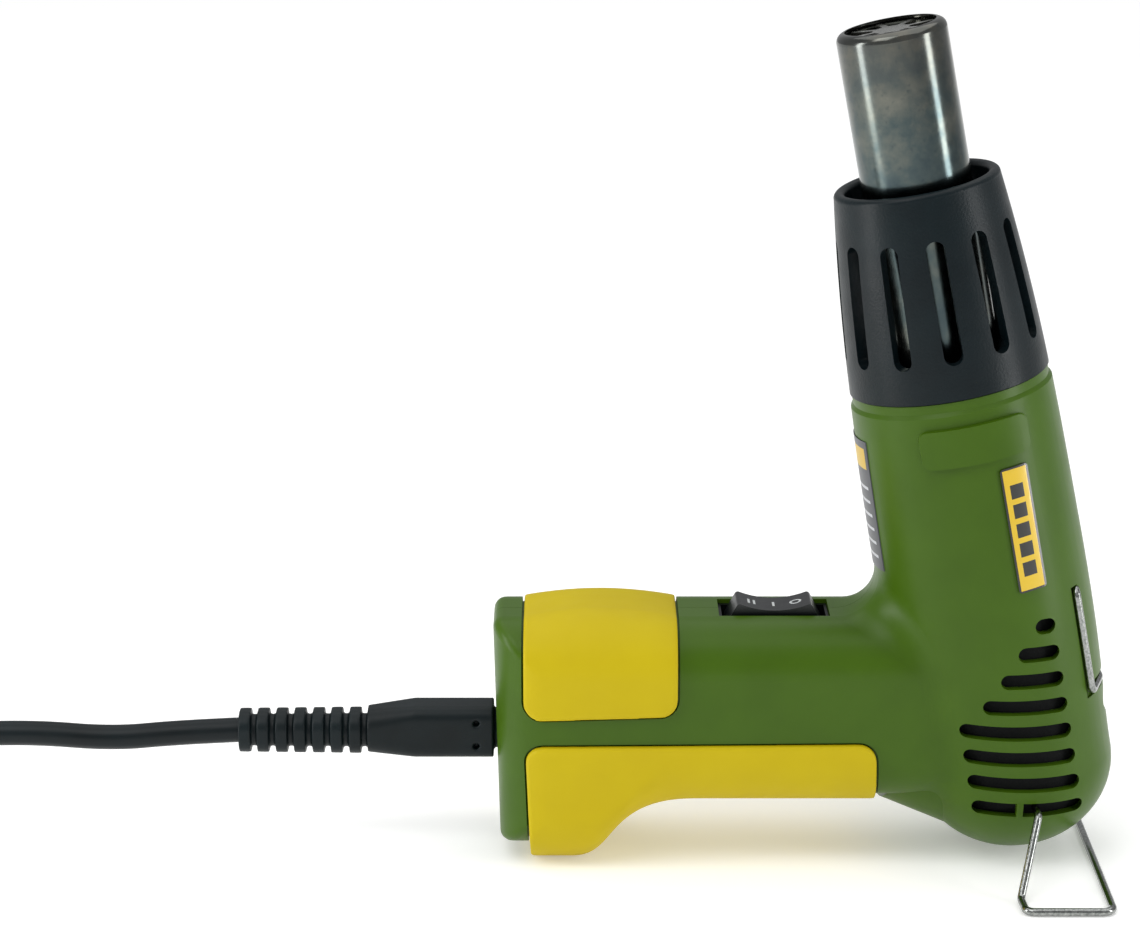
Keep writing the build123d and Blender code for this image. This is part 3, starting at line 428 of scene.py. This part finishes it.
def area_light(name, place, target, size, power):
    light = bpy.data.lights.new(name, "AREA")
    light.shape = "RECTANGLE"
    light.size, light.size_y = size
    light.energy = power
    lamp = bpy.data.objects.new(name, light)
    bpy.context.scene.collection.objects.link(lamp)
    lamp.location = place
    lamp.rotation_euler = (Vector(target) - Vector(place)).to_track_quat("-Z", "Y").to_euler()
    return lamp


class HEATGUN_OT_stage(bpy.types.Operator):
    """Adds the camera, the floor and the soft light"""
    bl_idname = "heatgun.stage"
    bl_label = "Stage"

    def execute(self, context):
        settings = context.scene.heatgun_stage
        camera = bpy.data.cameras.new("camera")
        camera.lens = CAMERA_LENS
        camera.sensor_width = 36.0
        camera.clip_start = 0.01
        holder = bpy.data.objects.new("camera", camera)
        context.scene.collection.objects.link(holder)
        holder.location = CAMERA_PLACE
        holder.rotation_euler = (pi / 2 - CAMERA_TILT, 0, 0)
        context.scene.camera = holder

        deselect()
        bpy.ops.mesh.primitive_plane_add(size=8.0, location=(0, 0, -0.1 * MM))
        floor = context.active_object
        material, tree, shader = new_material("matt_white_paper")
        place = put(tree, "ShaderNodeTexCoord").outputs["Object"]
        fibre = put(tree, "ShaderNodeTexNoise", {"Scale": 1 / (0.8 * MM), "Detail": 2.0}, {"Vector": place})
        base = srgb(settings.floor_colour)
        low = [value * 0.98 for value in base[:3]] + [1.0]
        tint = ramp(tree, fibre.outputs["Fac"], [(0.3, low), (0.7, base)])
        tree.links.new(tint, shader.inputs["Base Color"])
        shader.inputs["Roughness"].default_value = 0.9
        shader.inputs["Specular IOR Level"].default_value = 0.1
        shader.inputs["Emission Color"].default_value = base
        shader.inputs["Emission Strength"].default_value = settings.floor_glow
        settle(floor, "floor", material)

        world = bpy.data.worlds.new("studio")
        world.use_nodes = True
        world.node_tree.nodes["Background"].inputs["Color"].default_value = srgb("#F5F6F8")
        world.node_tree.nodes["Background"].inputs["Strength"].default_value = 0.45
        context.scene.world = world
        context.scene.view_settings.view_transform = "Standard"
        aim = (0.0, 0.0, 0.09)
        area_light("key", (-0.45, -0.55, 1.0), aim, (0.6, 0.6), settings.key_power)
        area_light("overhead", (0.0, 0.6, 2.6), (0.0, 0.6, 0.0), (4.0, 4.0), settings.key_power * 22)
        # Tall, narrow strips for long streaks on the polished tube; no view shows the lamps themselves.
        for name, place in (("strip_left", (-0.5, -0.12, 0.2)), ("strip_right", (0.55, -0.2, 0.2))):
            strip = area_light(name, place, (0.02, 0.0, 0.2), (0.12, 0.4), settings.key_power * 0.5)
            strip.visible_camera = False
        return {"FINISHED"}


# ---- The pieces ------------------------------------------------------------------------------
CORD_ROUTE = (
    (-145.1, 0.0, 30.8), (-161.0, 0.2, 30.0), (-178.0, 0.4, 28.2), (-199.0, 1.0, 29.8),
    (-222.0, 2.0, 28.6), (-245.0, 4.0, 20.0), (-267.0, 7.0, 10.6), (-287.0, 10.0, 5.6),
    (-306.0, 14.0, 4.2), (-321.0, 20.2, 3.5),
)
COIL_MIDDLE = (-345.464, -13.459)
COIL_PITCH = 6.6
COIL_RADII = (42.3, 35.7, 29.1)
LAYER_LOW, LAYER_HIGH = 3.3, 9.95
COIL_START, COIL_END, COIL_STEP = 75, 2070, 15
RISE_START, RISE_END = 1095, 1155
STEPS_INWARDS = ((435, 485), (795, 845))
STEPS_OUTWARDS = ((1415, 1465), (1775, 1825))
PLUG_LEAD = ((-331.0, -55.6, 9.9), (-320.0, -53.6, 9.0), (-309.46, -49.6, 6.9))


def eased(low, high, start, end, angle):
    """Goes from low to high between two angles."""
    share = min(max((angle - start) / (end - start), 0.0), 1.0)
    return low + (high - low) * share * share * (3 - 2 * share)


def coil_points():
    """The put-away coil in millimetres, by degrees round it: three turns on the floor, stepping inwards, and
    two and a half on top of them, stepping outwards again."""
    points = []
    outer, middle, inner = COIL_RADII
    for angle in range(COIL_START, COIL_END + 1, COIL_STEP):
        if angle <= RISE_END:
            radius = eased(outer, middle, *STEPS_INWARDS[0], angle)
            radius = eased(radius, inner, *STEPS_INWARDS[1], angle)
            height = eased(LAYER_LOW, LAYER_HIGH, RISE_START, RISE_END, angle)
        else:
            radius = eased(inner, middle, *STEPS_OUTWARDS[0], angle)
            radius = eased(radius, outer, *STEPS_OUTWARDS[1], angle)
            height = LAYER_HIGH
        radius = radius / cos(radians(COIL_STEP / 2))
        points.append((COIL_MIDDLE[0] + radius * cos(radians(angle)),
                       COIL_MIDDLE[1] + radius * sin(radians(angle)), height))
    return points


class HEATGUN_OT_cord(bpy.types.Operator):
    """Lays the cord from the strain relief over the floor and into its coil"""
    bl_idname = "heatgun.cord"
    bl_label = "Cord"

    def execute(self, context):
        settings = context.scene.heatgun_cord
        jacket = moulded("pvc_cord_jacket", settings.colour, "#060D0F", 0.40, 0.7, 0.02)
        points = list(CORD_ROUTE) + coil_points() + list(PLUG_LEAD)
        cord = curve_piece("mains_cord", [Vector(p) * MM for p in points], settings.radius, jacket)
        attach(cord, "gun")
        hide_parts("cord", "cord_coil")
        return {"FINISHED"}


class HEATGUN_OT_housing(bpy.types.Operator):
    """Dresses the housing, the badges and the label"""
    bl_idname = "heatgun.housing"
    bl_label = "Housing"

    def execute(self, context):
        settings = context.scene.heatgun_housing
        green = housing_material(settings.colour, settings.shade)
        for node in ("housing_left", "housing_right"):
            dress(node, green)
        foil = badge_material()
        for node in ("badge_left", "badge_right"):
            dress(node, foil)
        dress("rating_label", label_material())
        return {"FINISHED"}


class HEATGUN_OT_grips(bpy.types.Operator):
    """Makes the two soft grip pads, the upper one crowned"""
    bl_idname = "heatgun.grips"
    bl_label = "Grip pads"

    def execute(self, context):
        settings = context.scene.heatgun_grips
        rubber = grip_material(settings.colour, settings.shade)
        for node in ("grip_pad_upper", "grip_pad_lower"):
            pad = remeshed_copy(node, node + "_soft", settings.voxel, 4, rubber)
            if node == "grip_pad_upper":
                low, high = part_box(node)
                middle = (low.x + high.x) / 2
                half = (high.x - low.x) / 2
                swelling = 9 * MM
                for vertex in pad.data.vertices:
                    lift = min(max((vertex.co.z - (high.z - swelling)) / swelling, 0.0), 1.0)
                    across = (vertex.co.x - middle) / half
                    vertex.co.z += settings.crown * (1 - 2 * across * across) * lift * lift
            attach(pad, "gun")
            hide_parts(node)
        return {"FINISHED"}


class HEATGUN_OT_relief(bpy.types.Operator):
    """Makes the moulded strain relief with its softened, tapering ribs"""
    bl_idname = "heatgun.relief"
    bl_label = "Strain relief"

    def execute(self, context):
        rubber = moulded("moulded_pvc_relief", "#0B171A", "#071012", 0.44, 0.5, 0.03)
        deselect()
        hole_radius, hole_depth, hole_x, hole_y = 0.85 * MM, 4 * MM, -84.0 * MM, -6.2 * MM
        pins = []
        for height in (34.6, 28.4):
            bpy.ops.mesh.primitive_cylinder_add(vertices=16, radius=hole_radius, depth=hole_depth,
                                                location=(hole_x, hole_y, height * MM),
                                                rotation=(pi / 2, 0, 0))
            pins.append(context.active_object)
        for pin in pins:
            pin.select_set(True)
        bpy.ops.object.join()
        relief = remeshed_copy("strain_relief", "strain_relief_soft", 0.35 * MM, 3, rubber,
                               cutter=context.active_object)
        axis_z, start, end, least = 30.9 * MM, -112.0 * MM, -145.1 * MM, 0.94
        for vertex in relief.data.vertices:
            share = min(max((vertex.co.x - start) / (end - start), 0.0), 1.0)
            size = 1 + (least - 1) * share
            vertex.co.y *= size
            vertex.co.z = axis_z + (vertex.co.z - axis_z) * size
        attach(relief, "gun")
        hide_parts("strain_relief")
        return {"FINISHED"}


class HEATGUN_OT_heater(bpy.types.Operator):
    """Dresses the nozzle, the shield and the heater, and winds the heating wire"""
    bl_idname = "heatgun.heater"
    bl_label = "Nozzle and heater"

    def execute(self, context):
        dress("nozzle_tube", nozzle_material())
        dress("nozzle_spider", metal("pressed_steel_spider", "#B9BAB4", "#8B8C87", 0.24))
        dress("heat_shield", moulded("glass_filled_nylon_shield", "#0A181C", "#061115", 0.38, 0.6, 0.11))
        dress("mica_sleeve", moulded("mica_paper", "#B9A988", "#9C8B69", 0.5, 0.8, 0.02))
        dress("heater_core", moulded("steatite_ceramic", "#E4DED2", "#D3CBBB", 0.6, 0.4, 0.02))
        dress("heater_spacers", moulded("mica_board", "#AFA07F", "#968662", 0.55, 0.6, 0.02))

        wire, pitch, radius, turns = 0.55 * MM, 6.0 * MM, 8.7 * MM, 12
        first_turn = 62 * MM
        deselect()
        bpy.ops.mesh.primitive_circle_add(vertices=10, radius=wire / 2, fill_type="NOTHING",
                                          location=(radius, 0, 0), rotation=(pi / 2, 0, 0))
        coil = context.active_object
        bpy.ops.object.transform_apply(location=True, rotation=True, scale=True)
        screw = coil.modifiers.new("Winding", "SCREW")
        screw.axis = "Z"
        screw.steps = screw.render_steps = 36
        screw.iterations = turns
        screw.screw_offset = pitch
        bpy.ops.object.modifier_apply(modifier=screw.name)
        coil.matrix_world = Matrix.Translation(barrel_place(0, 0, first_turn)) @ barrel_turn()
        settle(coil, "heating_wire_helix", metal("resistance_wire", "#8C8378", "#5F564C", 0.4))
        bpy.ops.object.mode_set(mode="EDIT")
        bpy.ops.mesh.select_all(action="SELECT")
        bpy.ops.mesh.remove_doubles(threshold=0.001 * MM)
        bpy.ops.mesh.edge_face_add()
        bpy.ops.mesh.normals_make_consistent(inside=False)
        bpy.ops.object.mode_set(mode="OBJECT")
        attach(coil, "gun")
        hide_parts("heater_coil")
        return {"FINISHED"}


class HEATGUN_OT_controls(bpy.types.Operator):
    """Dresses the rocker switch and its frame"""
    bl_idname = "heatgun.controls"
    bl_label = "Switch"

    def execute(self, context):
        dress("rocker", rocker_material())
        dress("switch_body", moulded("polyamide_switch_frame", "#0E1112", "#090B0C", 0.36, 0.4, 0.02))
        return {"FINISHED"}


class HEATGUN_OT_vent_shade_sheet(bpy.types.Operator):
    """Makes a thin black sheet that lines the housing behind its vents: painted shade that keeps the vents
    dark
    """
    bl_idname = "heatgun.screen"
    bl_label = "Painted vent shade"

    def execute(self, context):
        # Each ring's place along the barrel from the fan's joint and its radius, in millimetres.
        rings = ((3.0, 23.8), (-18.0, 23.8), (-43.0, 22.84), (-48.0, 22.1), (-53.0, 19.8))
        deselect()
        bpy.ops.mesh.primitive_circle_add(vertices=96, radius=rings[0][1] * MM, fill_type="NOTHING",
                                          location=(0, 0, rings[0][0] * MM))
        screen = context.active_object
        bpy.ops.object.transform_apply(location=True, rotation=True, scale=True)
        bpy.ops.object.mode_set(mode="EDIT")
        bpy.ops.mesh.select_all(action="SELECT")
        for (s_before, r_before), (s_now, r_now) in zip(rings, rings[1:]):
            bpy.ops.mesh.extrude_region_move(TRANSFORM_OT_translate={"value": (0, 0, (s_now - s_before) * MM)})
            share = r_now / r_before
            bpy.ops.transform.resize(value=(share, share, 1.0), center_override=(0, 0, 0))
        bpy.ops.mesh.select_all(action="SELECT")
        bpy.ops.mesh.normals_make_consistent(inside=False)
        bpy.ops.object.mode_set(mode="OBJECT")
        thick = screen.modifiers.new("Thickness", "SOLIDIFY")
        thick.thickness = 0.22 * MM
        thick.offset = -1
        bpy.ops.object.modifier_apply(modifier=thick.name)
        screen.matrix_world = Matrix.Translation(AXIS_POINT) @ barrel_turn()
        # The sheet is black throughout: painted shade inside the vents, where the housing is dark, not a part
        # of the gun.
        settle(screen, "painted_vent_shade_sheet", moulded("black_sheet_painted_vent_shade", "#060809", "#030405", 0.8, 0.6, 0.04))
        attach(screen, "gun")
        return {"FINISHED"}


class HEATGUN_OT_wires(bpy.types.Operator):
    """Dresses the steel wire stand and the hanging bail"""
    bl_idname = "heatgun.wires"
    bl_label = "Stand and bail"

    def execute(self, context):
        bright = metal("bright_drawn_steel_wire", "#A9ABA8", "#6F7270", 0.16)
        dress("stand_wire", bright)
        dress("hanging_bail", bright)
        return {"FINISHED"}


class HEATGUN_OT_works(bpy.types.Operator):
    """Dresses what is inside the housing, and the plug"""
    bl_idname = "heatgun.works"
    bl_label = "Inner works"

    def execute(self, context):
        steel = metal("zinc_plated_steel", "#B4B5B2", "#8F908C", 0.3)
        copper = metal("drawn_copper", "#C07B4E", "#9A5A35", 0.25)
        brass = metal("nickel_plated_brass", "#C9C3A8", "#A89F7C", 0.22)
        black = moulded("black_polyamide", "#1C1E1F", "#141617", 0.45, 0.5, 0.02)
        finishes = {
            "housing_screws": steel, "nozzle_screws": steel, "motor_shaft": steel, "clamp_screws": steel,
            "thermal_cutout": moulded("phenolic_cutout", "#3A2A20", "#2A1D15", 0.4, 0.5, 0.02),
            "air_duct": moulded("phenolic_air_duct", "#2A2522", "#1E1A18", 0.5, 0.6, 0.03),
            "fan_impeller": moulded("glass_filled_fan", "#23282A", "#1A1E20", 0.5, 0.5, 0.03),
            "armature": metal("lamination_iron", "#6F6D6A", "#4F4D4A", 0.45),
            "commutator": copper,
            "motor_can": metal("blackened_motor_steel", "#3A3B3C", "#262728", 0.42), "motor_end_cap": black,
            "motor_magnets": moulded("ferrite_magnet", "#3A3A3B", "#2C2C2D", 0.6, 0.4, 0.02),
            "motor_mount": black,
            "rectifier_board": moulded("epoxy_circuit_board", "#2F6B3C", "#245530", 0.35, 0.6, 0.01),
            "rectifier_diodes": black, "motor_tabs": brass, "switch_terminals": brass,
            "capacitor": moulded("epoxy_dipped_film", "#C99A2B", "#B5871E", 0.35, 0.8, 0.02),
            "inner_sheath": moulded("pvc_inner_sheath", "#1B2023", "#14181A", 0.46, 0.7, 0.02),
            "cord_clamp_base": black, "cord_clamp": black,
            "supply_leads": moulded("pvc_brown_leads", "#5B3620", "#472916", 0.42, 0.5, 0.01),
            "motor_leads": moulded("pvc_motor_leads", "#5B3620", "#472916", 0.42, 0.5, 0.01),
            "plug_body": moulded("pvc_moulded_plug", "#1D2225", "#15191B", 0.45, 0.5, 0.03),
            "plug_pins": brass,
        }
        for node, material in finishes.items():
            dress(node, material)
        return {"FINISHED"}


class HEATGUN_PT_panel(bpy.types.Panel):
    """Lists the heat gun's pieces and their sizes and colours"""
    bl_idname = "HEATGUN_PT_panel"
    bl_label = "Heat gun"
    bl_space_type = "VIEW_3D"
    bl_region_type = "UI"
    bl_category = "Heat gun"

    def draw(self, context):
        layout = self.layout
        scene = context.scene
        for group in (scene.heatgun_housing, scene.heatgun_grips, scene.heatgun_cord, scene.heatgun_stage):
            box = layout.box()
            for key in group.__annotations__:
                box.prop(group, key)
        for operator in OPERATORS:
            layout.operator(operator.bl_idname)


GROUPS = {
    "heatgun_housing": HeatGunHousingSettings,
    "heatgun_grips": HeatGunGripSettings,
    "heatgun_cord": HeatGunCordSettings,
    "heatgun_stage": HeatGunStageSettings,
}
OPERATORS = (
    HEATGUN_OT_stage, HEATGUN_OT_relief, HEATGUN_OT_cord, HEATGUN_OT_housing, HEATGUN_OT_grips,
    HEATGUN_OT_heater, HEATGUN_OT_vent_shade_sheet, HEATGUN_OT_controls, HEATGUN_OT_wires, HEATGUN_OT_works,
)


def register():
    for name, group in GROUPS.items():
        bpy.utils.register_class(group)
        setattr(bpy.types.Scene, name, bpy.props.PointerProperty(type=group))
    for operator in OPERATORS:
        bpy.utils.register_class(operator)
    bpy.utils.register_class(HEATGUN_PT_panel)


def unregister():
    bpy.utils.unregister_class(HEATGUN_PT_panel)
    for operator in reversed(OPERATORS):
        bpy.utils.unregister_class(operator)
    for name, group in GROUPS.items():
        delattr(bpy.types.Scene, name)
        bpy.utils.unregister_class(group)


def main():
    register()
    for operator in OPERATORS:
        module, _, action = operator.bl_idname.partition(".")
        getattr(getattr(bpy.ops, module), action)()


if __name__ == "__main__":
    main()
